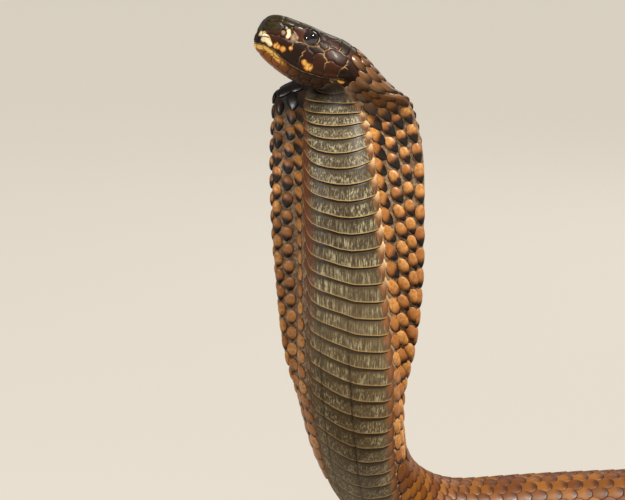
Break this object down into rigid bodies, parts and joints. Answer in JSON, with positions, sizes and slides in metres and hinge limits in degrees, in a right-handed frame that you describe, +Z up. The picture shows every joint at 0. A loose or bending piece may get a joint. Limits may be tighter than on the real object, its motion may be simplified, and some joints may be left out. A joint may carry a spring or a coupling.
{
  "type": "king cobra, life-size animal model",
  "caption": "Life-size king cobra reared up with its hood spread, mouth closed, the rest of the body lying in loose bends and resting on its belly.",
  "frame": {"origin": "point on the belly flat of the first length that lies on the floor, on the floor plane", "axes": "+Z up from the floor, +X to the viewer's right and +Y away from the viewer who sees the pose of the picture"},
  "size_m": [0.6244, 0.5395, 0.3759],
  "materials": {
    "crown": "smooth shields, dark olive brown above and red brown at the sides",
    "jaw": "smooth shields, orange brown with pale blotches",
    "hood": "grey brown belly plates with pale rear edges, orange brown scales with dark tips on dull skin",
    "body": "smooth glossy scales, yellow brown in front and dark behind",
    "tail": "smooth glossy scales, darker towards the tip",
    "eye": "wet, almost black with a dark brown rim"
  },
  "bodies": {
    "root": {"head": "crown", "lower_jaw": "jaw", "eye_left": "eye", "eye_right": "eye", "hood": "hood", "neck_base": "hood", "body_1": "body", "body_2": "body", "body_3": "body", "body_4": "body", "body_5": "body", "body_6": "body", "body_7": "body", "body_8": "body", "body_9": "body", "tail_1": "tail", "tail_2": "tail", "tail_tip": "tail"}
  },
  "joints": []
}
